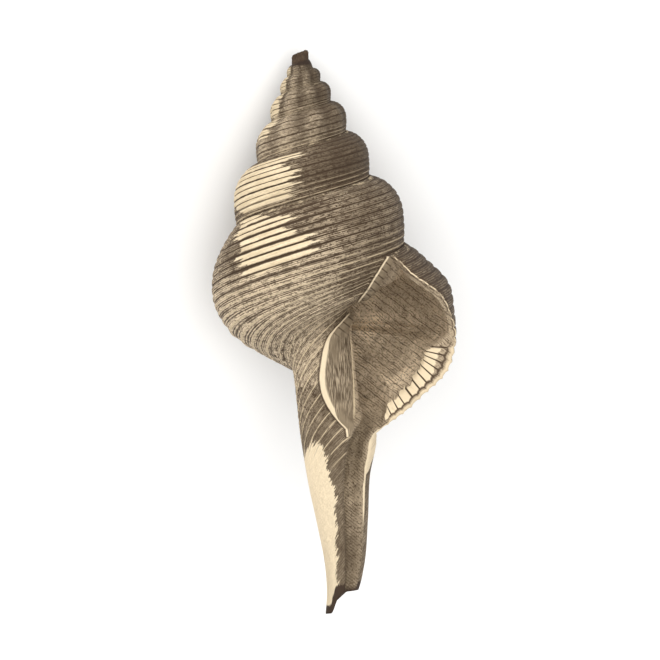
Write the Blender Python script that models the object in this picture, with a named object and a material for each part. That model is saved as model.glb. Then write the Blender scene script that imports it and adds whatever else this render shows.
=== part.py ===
"""A fossil spindle shell: a long, right-handed snail shell with a tall spire and a long open canal.

The shell is one piece, so it is one closed solid. Each part of its skin starts as a flat sheet, ruled in
growth columns and in rows across the whorl, and is rolled up by the law that the animal grew by: every turn
is the last one turned round the axis and enlarged by a constant factor. Where two sheets meet, their edges
land on the same points and are welded.

Metres, +Z up. The shell lies on its back with its mouth up and its apex towards +Y.

While it is being shaped the shell stands on its own axis: x to the right of someone who faces the mouth,
y away from them, z up to the apex. Its growth law is centred on the virtual apex, the point that the ever
smaller turns would run to, and a depth is a distance below that point.
"""

import math

import bmesh
import bpy
import numpy as np
from mathutils import Matrix, Vector

NODE = "shell"

# Growth: angles are degrees of growth, 0 at the mouth's upper corner and negative before it.
TURN_GROWTH = 1.503          # one turn makes the shell this much larger
MOUTH_DEPTH = 0.0357         # depth of the seam at the mouth's upper corner
MOUTH_CORNER = 54.0          # where that corner is, degrees round from the front towards the right
FIRST_GROWTH = -2256.0       # the broken apex
FINE_GROWTH = -1080.0        # from here on the columns are twice as close
SEAM_SLOPE = 0.418           # radius of the seam between two turns, over its depth
AXIS_LEAN = 0.075            # how much higher the coils are on the right than a true screw

# Sections: radii at these depths, in units of the depth of the turn's upper seam. 1 is that seam and
# TURN_GROWTH is the lower one, below which a turn of the spire is hidden in the next.
SECTION_DEPTHS = (1.00, 1.04, 1.10, 1.20, 1.34, 1.43, TURN_GROWTH, 1.62, 1.72, 1.80, 1.88, 1.96)
SPIRE_RADII = (SEAM_SLOPE, 0.506, 0.574, 0.628, 0.643, 0.640, SEAM_SLOPE * TURN_GROWTH,
               0.550, 0.440, 0.300, 0.140, 0.0)
BODY_RADII = (SEAM_SLOPE, 0.456, 0.500, 0.554, 0.582, 0.572, 0.543, 0.455, 0.296, 0.122, 0.040, 0.0)
LIP_RADII = (SEAM_SLOPE, 0.472, 0.530, 0.614, 0.638, 0.641, 0.632, 0.575, 0.430, 0.270, 0.120, 0.0)
BODY_START, BODY_END = -360.0, -225.0   # growth over which spire turns become the last, the body whorl
FLARE_START = -200.0         # from here the body whorl widens to the lip

# The columella and the canal: a rod down the middle, open to the front as a channel.
ROD_DEPTHS = (0.0480, 0.0568, 0.0648, 0.0704, 0.0776, 0.0848, 0.0880, 0.0914)
ROD_SHIFTS = (0.0003, 0.0010, 0.00235, 0.0020, 0.0022, 0.0022, 0.0017, 0.0004)
ROD_RADII = (0.0044, 0.0047, 0.00575, 0.0048, 0.0038, 0.0027, 0.0022, 0.0015)
ROD_FILLET = 0.0017          # how softly the whorl runs into the rod
MOUTH_BOTTOM = 0.0632        # depth where the mouth ends and the canal begins
CANAL_END = 0.0884           # depth of the canal's right side at the end
TIP_REACH = 0.0031           # how much further its left side goes
LIP_RECEDES = 27.0           # degrees that the lip's middle is behind the mouth's upper corner
LIP_IN_CANAL = 14.0          # the same along the canal
COLUMELLA_ROWS = (17.33, 20.3, 20.7, 21.0, 22.0)      # rows of the inner lip and the canal's left edge,
COLUMELLA_ADVANCES = (0.0, -22.0, -3.0, 18.0, 18.0)   # and degrees that they are ahead of the corner

# Sculpture
CORDS = 12                   # spiral cords on one turn, seam to seam
BASE_CORDS = 8               # more of them on the base of the body whorl
CORD_RELIEF = 0.0105         # height of a cord, over the depth of the turn's upper seam
CORD_FLATNESS = 0.35         # under 1, cords are flat with narrow grooves
SPLIT_START, SPLIT_END = -1300.0, -500.0    # growth over which every second groove appears
RIBS = 9                     # upright ribs on one turn of the upper spire
RIB_RELIEF = 0.022
RIB_FADE_START, RIB_FADE_END = -1300.0, -560.0

# Mouth
LIP_RIM = 0.05               # width of the outer lip's rim, over the distance to the mouth's middle
LIP_THICKNESS = 0.09         # thickness of the shell at the mouth, over the same
LIP_BANDS = (0.0036, 0.0019) # width of the bevel inside it, at its widest and near the canal
LIP_BAND_DEPTH = 0.0012      # how far that bevel sinks
CALLUS_HEIGHT = 0.0004       # thickness of the glaze on the inner lip, whose left edge is a curve:
CALLUS_DEPTHS = (0.0364, 0.0441, 0.0475, 0.0515, 0.0554, 0.0603, 0.0625)
CALLUS_EDGES = (0.0116, 0.0054, 0.0017, 0.0002, 0.0000, 0.0018, 0.0036)
CALLUS_SOFTNESS = 0.0006     # width of that edge's slope
CALLUS_RIM = 0.0007          # how much higher the edge itself stands
CALLUS_RIM_WIDTH = 0.0022
CAVITY_TURN = 125.0          # degrees that the cavity runs back into the body whorl
CAVITY_CLOSE = 0.58          # width of its inner end, over that of the mouth
CANAL_WALLS = (0.0011, 0.0006)   # thickness of the canal's right edge at its start and end
CANAL_SINKS = (0.95, 0.65)   # depth of the canal at its start and end, over the rod's radius

# How it lies
LENGTH_OF_STUB = 0.0007      # broken apex above the first turn's seam
REST_PITCH = 20.5            # degrees that the apex is lowered
REST_ROLL = -16.53           # degrees that the mouth is turned to the right

SPIRE_COLUMN = 24.0          # degrees between growth columns on the upper spire
COLUMN = 12.0                # and on the rest
NECK_ROWS = 4
CANAL_ROWS = 8
CAVITY_STEPS = 7
PROFILE_SAMPLES = 240


def ease(value, start, end):
    """0 before start, 1 after end, and a smooth change between them."""
    step = np.clip((value - start) / (end - start), 0.0, 1.0)
    return step * step * (3.0 - 2.0 * step)


def smooth_curve(at, along, heights):
    """Height of the smooth curve that passes through a few points."""
    along, heights = np.asarray(along), np.asarray(heights)
    slopes = np.gradient(heights, along)
    at = np.clip(at, along[0], along[-1])
    index = np.clip(np.searchsorted(along, at) - 1, 0, len(along) - 2)
    span = along[index + 1] - along[index]
    u = (at - along[index]) / span
    return ((1 + 2 * u) * (1 - u) ** 2 * heights[index] + u * (1 - u) ** 2 * span * slopes[index]
            + u * u * (3 - 2 * u) * heights[index + 1] + u * u * (u - 1) * span * slopes[index + 1])


def seam_depth(growth):
    """Depth of the seam above the turn at this growth."""
    return MOUTH_DEPTH * TURN_GROWTH ** (growth / 360.0)


def section_radius(growth, depth):
    """Radius of the turn at this growth, both in units of its upper seam's depth, without sculpture."""
    spire, body, lip = (smooth_curve(depth, SECTION_DEPTHS, radii)
                        for radii in (SPIRE_RADII, BODY_RADII, LIP_RADII))
    last = body + ease(growth, FLARE_START, 0.0) * (lip - body)
    return spire + ease(growth, BODY_START, BODY_END) * (last - spire)


def rod_radius(angle, depth):
    """Distance from the axis to the surface of the columella and canal, whose centre is off the axis."""
    shift = smooth_curve(depth, ROD_DEPTHS, ROD_SHIFTS)
    radius = smooth_curve(depth, ROD_DEPTHS, ROD_RADII)
    return shift * np.sin(angle) + np.sqrt(radius ** 2 - (shift * np.cos(angle)) ** 2)


def turned_angle(growth):
    """Angle round the axis of a growth column, 0 at the front and a quarter turn at the right."""
    return math.radians(MOUTH_CORNER - growth)


def profile(growth, depths):
    """Radius of the whole shell at these depths, with the whorl run softly into the rod."""
    scale = seam_depth(growth)
    whorl = scale * section_radius(growth, depths / scale)
    rod = rod_radius(turned_angle(growth), depths)
    blended = 0.5 * (whorl + rod + np.sqrt((whorl - rod) ** 2 + ROD_FILLET ** 2))
    return np.where(depths / scale <= TURN_GROWTH, whorl, whorl + (blended - whorl)
                    * ease(depths / scale, TURN_GROWTH, TURN_GROWTH + 0.1))


def base_phases():
    """Depths, in units of the upper seam's, at which the base's cords fall: each as wide as those above."""
    depths = np.linspace(1.0, 4.0, 3 * PROFILE_SAMPLES)
    radii = section_radius(BODY_END, depths)
    lengths = np.concatenate(([0.0], np.cumsum(np.hypot(np.diff(depths), np.diff(radii)))))
    seam = np.interp(TURN_GROWTH, depths, lengths)
    return depths, CORDS * lengths / seam


PHASE_DEPTHS, PHASES = base_phases()


def canal_end(angle):
    """Depth at which the canal ends: its left side reaches further than its right."""
    return CANAL_END + TIP_REACH * ease(0.5 - 0.5 * math.sin(angle), 0.20, 0.70)


def cord_height(growth, phase):
    """Height of the spiral cords, over the seam's depth. Every second groove appears as the shell grows."""
    nearest = np.round(phase)
    wave = np.abs(np.sin(math.pi * phase)) ** CORD_FLATNESS
    odd = (nearest % 2 == 1) & (phase < CORDS - 0.5)
    split = ease(growth, SPLIT_START, SPLIT_END)
    wave = np.where(odd, 1.0 - split * (1.0 - wave), wave)
    return CORD_RELIEF * wave


def rib_height(growth, across):
    """Height of the upright ribs of the upper spire, over the seam's depth."""
    strength = RIB_RELIEF * (1 - ease(growth, RIB_FADE_START, RIB_FADE_END))
    return strength * math.cos(math.radians(RIBS * growth)) * math.sin(math.pi * across)


def callus_height(right, depth):
    """Height of the glaze on the inner lip, this far to the right of the axis and at this depth."""
    edge = smooth_curve(depth, CALLUS_DEPTHS, CALLUS_EDGES)
    ends = ease(depth, CALLUS_DEPTHS[0] - 0.002, CALLUS_DEPTHS[0]) * (1 - ease(depth, CALLUS_DEPTHS[-1],
                                                                              CALLUS_DEPTHS[-1] + 0.003))
    inside = right - edge
    height = CALLUS_HEIGHT + CALLUS_RIM * (1 - ease(inside, 0.3 * CALLUS_RIM_WIDTH, CALLUS_RIM_WIDTH))
    return float(height * ease(inside, -CALLUS_SOFTNESS, 0.0) * ends)


def shell_point(growth, phase):
    """Point of the outer surface, on the shell's own axis.

    growth -- degrees of growth
    phase -- row across the turn, counted in cords from the upper seam; past the base's cords, the next
             whole numbers are the mouth's bottom and the canal's end
    """
    last_cord = CORDS + BASE_CORDS
    lip = ease(phase, 0.2 * CORDS, 1.0 * CORDS)
    low = ease(phase, last_cord - 2.67, last_cord + 1)
    recede = (LIP_RECEDES * lip + (LIP_IN_CANAL - LIP_RECEDES) * low) * ease(growth, -130.0, 0.0)
    advance = smooth_curve(phase, COLUMELLA_ROWS, COLUMELLA_ADVANCES) * (1 - ease(growth, -360.0, -250.0))
    eased = growth - recede + advance
    scale = seam_depth(eased)
    angle = turned_angle(eased)
    if phase <= CORDS:
        across = phase / CORDS
        spread = 0.5 - 0.5 * np.cos(np.linspace(0.0, math.pi, PROFILE_SAMPLES))
        depths = scale * (1.0 + (TURN_GROWTH - 1.0) * spread)
    else:
        bottom = MOUTH_BOTTOM
        last = scale * np.interp(last_cord, PHASES, PHASE_DEPTHS)
        if phase <= last_cord:
            depth = scale * np.interp(phase, PHASES, PHASE_DEPTHS)
        elif phase <= last_cord + 1:
            depth = last + (bottom - last) * (phase - last_cord)
        else:
            depth = bottom + (canal_end(angle) - bottom) * (phase - last_cord - 1)
        depths = depth + np.array((-1e-5, 0.0, 1e-5))
    radii = profile(eased, depths)
    slopes = np.gradient(radii, depths)
    if phase <= CORDS:
        lengths = np.concatenate(([0.0], np.cumsum(np.hypot(np.diff(depths), np.diff(radii)))))
        wanted = across * lengths[-1]
        depth, radius, slope = (float(np.interp(wanted, lengths, row)) for row in (depths, radii, slopes))
        raised = scale * (float(cord_height(growth, phase)) + rib_height(growth, across))
        if phase in (0, CORDS):
            raised = 0.0
        blunt = 1 - ease(growth, FIRST_GROWTH, FIRST_GROWTH + 200.0)
        radius -= blunt * (radius - SEAM_SLOPE * depth)
        raised *= 1 - blunt
    else:
        radius, slope = float(radii[1]), float(slopes[1])
        raised = 0.0
        if phase <= last_cord:
            raised = scale * float(cord_height(growth, phase)) * (1 - ease(phase, last_cord - 1.5, last_cord))
        if growth < -250.0:
            raised += callus_height(radius * math.sin(angle), depth)
    steep = math.hypot(1.0, slope)
    radius += raised / steep
    depth -= raised * slope / steep
    return Vector((radius * math.sin(angle), -radius * math.cos(angle), -depth))


def turned_back(point, degrees):
    """Where this point of the shell was so many degrees of growth earlier."""
    smaller = TURN_GROWTH ** (-degrees / 360.0)
    turned = Matrix.Rotation(math.radians(degrees), 3, "Z")
    return turned @ point * smaller


def lip_rows():
    """Rows of the outer lip, from below the mouth's corner to the canal."""
    half_cords = [0.5 * step for step in range(1, 2 * (CORDS + BASE_CORDS) + 1)]
    return half_cords + [CORDS + BASE_CORDS + (step + 1) / NECK_ROWS for step in range(NECK_ROWS)]


def canal_rows():
    """Rows of the canal, from the mouth's bottom to the end."""
    return [CORDS + BASE_CORDS + 1 + step / CANAL_ROWS for step in range(CANAL_ROWS + 1)]


def canal_profile(row):
    """Four points across the canal at one row: right edge, its inner side, the deepest line, left edge."""
    right = shell_point(0.0, row)
    left = shell_point(-360.0, row)
    depth = -0.5 * (left.z + right.z)
    inward = (left - right).normalized()
    along = row - canal_rows()[0]
    inner = right + inward * (CANAL_WALLS[0] + (CANAL_WALLS[1] - CANAL_WALLS[0]) * along)
    radius = float(smooth_curve(depth, ROD_DEPTHS, ROD_RADII))
    sink = CANAL_SINKS[0] + (CANAL_SINKS[1] - CANAL_SINKS[0]) * along
    deepest = left + Vector((0.12 * (right.x - left.x), sink * radius, 0.0))
    return right, inner, deepest, left


def mouth_loop():
    """Points round the mouth: corner, outer lip, canal, inner lip. Returns them, their rows, and how many
    of them are on the outer lip."""
    rows = [0.0] + lip_rows()
    inner_rows = [row for row in rows if row > CORDS][::-1]
    edge = [shell_point(0.0, row) for row in rows]
    edge += list(canal_profile(canal_rows()[0])[1:3])
    edge += [shell_point(-360.0, row) for row in inner_rows]
    return edge, rows + [rows[-1]] * 2 + inner_rows, len(rows)


def bevelled(row):
    """How much of the bevel there is at this row of the outer lip, 0 to 1."""
    last_cord = CORDS + BASE_CORDS
    return float(ease(row, CORDS - 2, CORDS + 1) * (1 - 0.9 * ease(row, last_cord + 0.4, last_cord + 1)))


def narrowing(band, rows, on_lip):
    """How much each point of the cavity's edge joins in as the cavity narrows, and how far the columella,
    which keeps its place, is slimmed inside the mouth."""
    last_cord = CORDS + BASE_CORDS
    follow, slimmed = [], []
    for index, (point, row) in enumerate(zip(band, rows)):
        angle = math.atan2(point.x, -point.y)
        if index < on_lip:
            follow.append(1.0 - 0.6 * float(ease(row, last_cord + 0.9, last_cord + 1)))
            slimmed.append(0.0)
        else:
            follow.append(1.0 - 0.88 * float(ease(row, CORDS + 1.5, last_cord - 1)))
            low = float(ease(row, CORDS + 2.5, last_cord))
            slimmed.append(low * (1 - math.sin(min(max(angle, 0.3), math.pi / 2))))
    return follow, slimmed


def cavity_loops():
    """Loops of points from the mouth's edge to the cavity's inner end."""
    edge, rows, on_lip = mouth_loop()
    centre = sum(edge, Vector()) / len(edge)
    rim, band = [], []
    for index, (point, row) in enumerate(zip(edge, rows)):
        inward = centre - point
        if index < on_lip:
            wide = bevelled(row)
            breadth = LIP_BANDS[0] + (LIP_BANDS[1] - LIP_BANDS[0]) * float(ease(row, CORDS + 1.5, CORDS + 7.5))
            bevel = inward.normalized() * breadth * wide + Vector((0.0, LIP_BAND_DEPTH * wide + 0.0002, 0.0))
            rim.append(point + inward * LIP_RIM)
            band.append(point + inward * LIP_THICKNESS + bevel)
        else:
            high = 1.0 - float(ease(row, CORDS + 1, CORDS + BASE_CORDS))
            filled = LIP_THICKNESS * (0.3 + 0.7 * high)
            turned = float(ease(row, CORDS - 0.5, CORDS + 4))
            rim.append(turned_back(point + inward * filled * 0.4, 2.0 * turned))
            band.append(turned_back(point + inward * filled, 6.0 * turned))
    loops = [edge, rim, band]
    centre = sum(band, Vector()) / len(band)
    follow, slimmed = narrowing(band, rows, on_lip)
    for step in range(1, CAVITY_STEPS + 1):
        share = step / CAVITY_STEPS
        width = 1.0 - (1.0 - CAVITY_CLOSE) * share ** 0.7
        if step == CAVITY_STEPS:
            width *= 0.6
        turn = CAVITY_TURN * share
        loop = []
        for point, joins, slim in zip(band, follow, slimmed):
            angle = math.atan2(point.x, -point.y)
            turned = float(ease(angle + math.radians(turn), angle, math.pi / 2 + 0.01))
            place = point + (centre - point) * (1.0 - width) * joins
            kept = 1.0 - slim * turned
            loop.append(turned_back(Vector((place.x * kept, place.y * kept, place.z)), turn))
        loops.append(loop)
    return loops


def add_sheet(bm, columns, rows, place):
    """Adds a flat sheet of columns by rows and moves each of its points to place(column, row)."""
    made = bmesh.ops.create_grid(bm, x_segments=len(columns) - 1, y_segments=len(rows) - 1, size=1.0)
    growth_layer = bm.verts.layers.float["growth"]
    for vert in made["verts"]:
        column = round((vert.co.x + 1.0) / 2.0 * (len(columns) - 1))
        row = round((vert.co.y + 1.0) / 2.0 * (len(rows) - 1))
        vert[growth_layer] = columns[column]
        vert.co = place(columns[column], rows[row])
    return made["verts"]


def split_seam(bm, columns):
    """Adds a middle point to each lower seam edge of the spire's wide columns, where narrow ones meet them."""
    growth_layer = bm.verts.layers.float["growth"]
    last_turn = {vert for vert in bm.verts if vert[growth_layer] >= columns[-1] - 360.0
                 and (vert.co - shell_point(vert[growth_layer], CORDS)).length < 1e-6}
    edges = [edge for edge in bm.edges if all(vert in last_turn for vert in edge.verts)]
    made = bmesh.ops.subdivide_edges(bm, edges=edges, cuts=1)
    for part in made["geom_inner"]:
        if isinstance(part, bmesh.types.BMVert):
            part.co = shell_point(part[growth_layer], CORDS)


def close_holes(bm):
    """Caps the broken apex with a low stub, and closes the canal's end and the cavity's inner end."""
    apex = [edge for edge in bm.edges if edge.is_boundary and edge.verts[0].co.z > -seam_depth(-1800.0)]
    grown = bmesh.ops.extrude_edge_only(bm, edges=apex)["geom"]
    stub = [part for part in grown if isinstance(part, bmesh.types.BMVert)]
    top = -seam_depth(FIRST_GROWTH) + LENGTH_OF_STUB
    for vert in stub:
        jag = 0.0002 * math.sin(3.0 * math.atan2(vert.co.y, vert.co.x))
        vert.co = Vector((0.78 * vert.co.x, 0.78 * vert.co.y, top + jag))
    bmesh.ops.holes_fill(bm, edges=[edge for edge in bm.edges if edge.is_boundary], sides=0)


def shell_mesh():
    """The whole shell as one closed mesh, on its own axis."""
    bm = bmesh.new()
    bm.verts.layers.float.new("growth")
    whole = [0.5 * step for step in range(2 * CORDS + 1)]
    wide = np.arange(FIRST_GROWTH, FINE_GROWTH + 1.0, SPIRE_COLUMN)
    narrow = np.arange(FINE_GROWTH, 1.0, COLUMN)
    last_turn = np.arange(-360.0, 1.0, COLUMN)
    lower = [row for row in lip_rows() if row >= CORDS] + canal_rows()[1:]
    add_sheet(bm, wide, whole, shell_point)
    split_seam(bm, wide)
    add_sheet(bm, narrow, whole, shell_point)
    add_sheet(bm, last_turn, lower, shell_point)
    loops = cavity_loops()
    around = list(range(len(loops[0]))) + [0]
    add_sheet(bm, list(range(len(loops))), around, lambda step, index: loops[step][index])
    add_sheet(bm, canal_rows(), range(4), lambda row, index: canal_profile(row)[index])
    bmesh.ops.remove_doubles(bm, verts=bm.verts, dist=1e-6)
    close_holes(bm)
    bmesh.ops.triangulate(bm, faces=bm.faces)
    bmesh.ops.recalc_face_normals(bm, faces=bm.faces)
    return bm


def laid_down(bm):
    """Leans the coils, lays the shell on its back and stands it on the floor, centred on the origin."""
    for vert in bm.verts:
        vert.co.z += AXIS_LEAN * vert.co.x
    on_back = Matrix.Rotation(math.radians(-90.0), 4, "X")
    rolled = Matrix.Rotation(math.radians(REST_ROLL), 4, "Y")
    pitched = Matrix.Rotation(math.radians(-REST_PITCH), 4, "X")
    bmesh.ops.transform(bm, matrix=pitched @ rolled @ on_back, verts=bm.verts)
    points = np.array([vert.co[:] for vert in bm.verts])
    low, high = points.min(axis=0), points.max(axis=0)
    to_floor = Vector((-(low[0] + high[0]) / 2, -(low[1] + high[1]) / 2, -low[2]))
    bmesh.ops.translate(bm, vec=to_floor, verts=bm.verts)


def shell_material():
    """Old, dull shell: warm grey-brown."""
    material = bpy.data.materials.new("fossil_shell")
    material.use_nodes = True
    finish = material.node_tree.nodes["Principled BSDF"]
    finish.inputs["Base Color"].default_value = (0.26, 0.20, 0.13, 1.0)
    finish.inputs["Roughness"].default_value = 0.75
    finish.inputs["Metallic"].default_value = 0.0
    return material


def build_shell():
    """Makes the shell's object."""
    bm = shell_mesh()
    laid_down(bm)
    mesh = bpy.data.meshes.new(NODE)
    bm.to_mesh(mesh)
    bm.free()
    mesh.shade_smooth()
    mesh.set_sharp_from_angle(angle=math.radians(40.0))
    mesh.materials.append(shell_material())
    shell = bpy.data.objects.new(NODE, mesh)
    bpy.context.scene.collection.objects.link(shell)
    return shell


for leftover in list(bpy.data.objects):
    bpy.data.objects.remove(leftover)
build_shell()
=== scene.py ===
"""A fossil spindle shell, dressed: the coiled skin with its cords and grooves, the mouth and the open canal.

The shell is one piece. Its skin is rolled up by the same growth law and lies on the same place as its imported
solid, at a finer grain, so that cords, grooves, threads, lip and glaze are true shape. Metres, +Z up.
"""

from __future__ import annotations

import logging
import math
from dataclasses import dataclass, field
from enum import Enum

import bmesh
import bpy
import numpy as np
from mathutils import Matrix, Vector, noise

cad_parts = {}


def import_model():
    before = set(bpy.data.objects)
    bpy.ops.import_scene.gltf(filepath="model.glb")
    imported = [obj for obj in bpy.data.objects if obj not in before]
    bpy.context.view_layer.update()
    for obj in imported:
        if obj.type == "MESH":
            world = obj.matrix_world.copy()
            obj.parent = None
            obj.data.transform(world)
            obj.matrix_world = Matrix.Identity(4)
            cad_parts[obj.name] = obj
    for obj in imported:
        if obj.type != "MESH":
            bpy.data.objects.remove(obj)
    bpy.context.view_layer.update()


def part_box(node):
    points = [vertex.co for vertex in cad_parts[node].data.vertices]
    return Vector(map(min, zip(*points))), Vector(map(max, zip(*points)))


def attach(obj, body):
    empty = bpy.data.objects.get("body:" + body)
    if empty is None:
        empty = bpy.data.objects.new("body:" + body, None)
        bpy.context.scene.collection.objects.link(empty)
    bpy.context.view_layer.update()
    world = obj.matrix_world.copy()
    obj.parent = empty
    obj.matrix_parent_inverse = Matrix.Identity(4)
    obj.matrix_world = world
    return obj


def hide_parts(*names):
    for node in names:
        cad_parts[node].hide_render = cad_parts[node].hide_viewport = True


LOG = logging.getLogger("spindle_shell")
MILLIMETRES = 1000.0
CENTIMETRES = 100.0

Colour = tuple[float, float, float]
Span = tuple[float, float]
Array = np.ndarray


def ease(value: Array | float, start: float, end: float) -> Array:
    """Smooth change from 0 at start to 1 at end.

    Args:
        value: Where to read it.
        start: Where it leaves 0.
        end: Where it reaches 1.

    Returns:
        The eased value or values.
    """
    step = np.clip((np.asarray(value, float) - start) / (end - start), 0.0, 1.0)
    return step * step * (3.0 - 2.0 * step)


def hump(value: Array, rise: Span, fall: Span) -> Array:
    """A smooth plateau: 0, up to 1 over rise, and down to 0 over fall.

    Args:
        value: Where to read it.
        rise: Start and end of the rise.
        fall: Start and end of the fall.

    Returns:
        The plateau's height at each value.
    """
    return ease(value, *rise) * (1.0 - ease(value, *fall))


def between(span: Span, share: Array) -> Array:
    """Value at a share of the way along a span."""
    return span[0] + (span[1] - span[0]) * share


def smooth_curve(at: Array, along: tuple[float, ...], heights: tuple[float, ...]) -> Array:
    """Height of the smooth curve that passes through a few points.

    Args:
        at: Where to read the curve.
        along: Places of its points, rising.
        heights: Its height at each of them.

    Returns:
        The curve's heights.
    """
    xs, ys = np.asarray(along), np.asarray(heights)
    slopes = np.gradient(ys, xs)
    at = np.clip(at, xs[0], xs[-1])
    index = np.clip(np.searchsorted(xs, at) - 1, 0, len(xs) - 2)
    span = xs[index + 1] - xs[index]
    u = (at - xs[index]) / span
    return ((1 + 2 * u) * (1 - u) ** 2 * ys[index] + u * (1 - u) ** 2 * span * slopes[index]
            + u * u * (3 - 2 * u) * ys[index + 1] + u * u * (u - 1) * span * slopes[index + 1])


def grain(points: Array, size: float, seed: float = 0.0) -> Array:
    """Smooth natural unevenness, about -1 to 1.

    Args:
        points: Rows of x, y, z.
        size: Size of one lump, in the points' unit.
        seed: Moves the pattern.

    Returns:
        One value for each point.
    """
    shift = Vector((seed, 2.7 * seed, -1.3 * seed))
    return np.array([noise.noise(Vector(p) / size + shift) for p in points])


class Part(Enum):
    """Parts of the skin, each with its own finish; the value is its place in the material list."""

    OUTSIDE = 0
    LINING = 1
    CHANNEL = 2
    BREAK = 3


@dataclass(frozen=True)
class GrowthLaw:
    """The law that the shell grew by, on its own axis.

    x is to the right of someone who faces the mouth, y away from them, z up to the apex. Growth is in
    degrees, 0 at the mouth's upper corner and negative before it. Depths run down from the virtual apex.
    """

    turn_growth: float = 1.503
    mouth_depth: float = 0.0357
    mouth_corner: float = 54.0
    first_growth: float = -2256.0
    blunt_growth: float = 200.0
    seam_slope: float = 0.418
    section_depths: tuple[float, ...] = (1.00, 1.04, 1.10, 1.20, 1.34, 1.43, 1.503,
                                         1.62, 1.72, 1.80, 1.88, 1.96)
    spire_radii: tuple[float, ...] = (0.418, 0.506, 0.574, 0.628, 0.643, 0.640, 0.418 * 1.503,
                                      0.550, 0.440, 0.300, 0.140, 0.0)
    body_radii: tuple[float, ...] = (0.418, 0.456, 0.500, 0.554, 0.582, 0.572, 0.543,
                                     0.455, 0.296, 0.122, 0.040, 0.0)
    lip_radii: tuple[float, ...] = (0.418, 0.472, 0.530, 0.614, 0.638, 0.641, 0.632,
                                    0.575, 0.430, 0.270, 0.120, 0.0)
    body_span: Span = (-360.0, -225.0)
    flare_start: float = -200.0
    rod_depths: tuple[float, ...] = (0.0480, 0.0568, 0.0648, 0.0704, 0.0776, 0.0848, 0.0880, 0.0914)
    rod_shifts: tuple[float, ...] = (0.0003, 0.0010, 0.00235, 0.0020, 0.0022, 0.0022, 0.0017, 0.0004)
    rod_radii: tuple[float, ...] = (0.0044, 0.0047, 0.00575, 0.0048, 0.0038, 0.0027, 0.0022, 0.0015)
    rod_fillet: float = 0.0017

    def seam_depth(self, growth: Array) -> Array:
        """Depth of the seam above the turn at this growth."""
        return self.mouth_depth * self.turn_growth ** (np.asarray(growth) / 360.0)

    def angle(self, growth: Array) -> Array:
        """Angle round the axis in radians, 0 at the front and a quarter turn at the right."""
        return np.radians(self.mouth_corner - np.asarray(growth))

    def section(self, growth: Array, depth: Array) -> Array:
        """Radius of the turn at this growth, without sculpture.

        Args:
            growth: Degrees of growth.
            depth: Depth, in units of the depth of the turn's upper seam.

        Returns:
            Radii in the same units.
        """
        spire, body, lip = (smooth_curve(depth, self.section_depths, radii)
                            for radii in (self.spire_radii, self.body_radii, self.lip_radii))
        last = body + ease(growth, self.flare_start, 0.0) * (lip - body)
        return spire + ease(growth, *self.body_span) * (last - spire)

    def rod(self, angle: Array, depth: Array) -> Array:
        """Distance from the axis to the surface of the columella and canal."""
        shift = smooth_curve(depth, self.rod_depths, self.rod_shifts)
        radius = smooth_curve(depth, self.rod_depths, self.rod_radii)
        return shift * np.sin(angle) + np.sqrt(radius ** 2 - (shift * np.cos(angle)) ** 2)

    def profile(self, growth: Array, depths: Array) -> Array:
        """Radius of the whole shell, with the whorl run softly into the rod.

        Args:
            growth: Degrees of growth.
            depths: Depths in metres.

        Returns:
            Radii in metres.
        """
        scale = self.seam_depth(growth)
        whorl = scale * self.section(growth, depths / scale)
        rod = self.rod(self.angle(growth), depths)
        blended = 0.5 * (whorl + rod + np.sqrt((whorl - rod) ** 2 + self.rod_fillet ** 2))
        below = ease(depths / scale, self.turn_growth, self.turn_growth + 0.1)
        return whorl + (blended - whorl) * below

    def turned_back(self, points: Array, degrees: Array | float) -> Array:
        """Where these points were so many degrees of growth earlier."""
        turn = np.broadcast_to(np.radians(degrees), points.shape[:1])
        cosine, sine = np.cos(turn), np.sin(turn)
        x, y, z = points.T
        turned = np.stack((cosine * x - sine * y, sine * x + cosine * y, z), axis=1)
        return turned * (self.turn_growth ** (-turn / (2 * math.pi)))[:, None]


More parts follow.
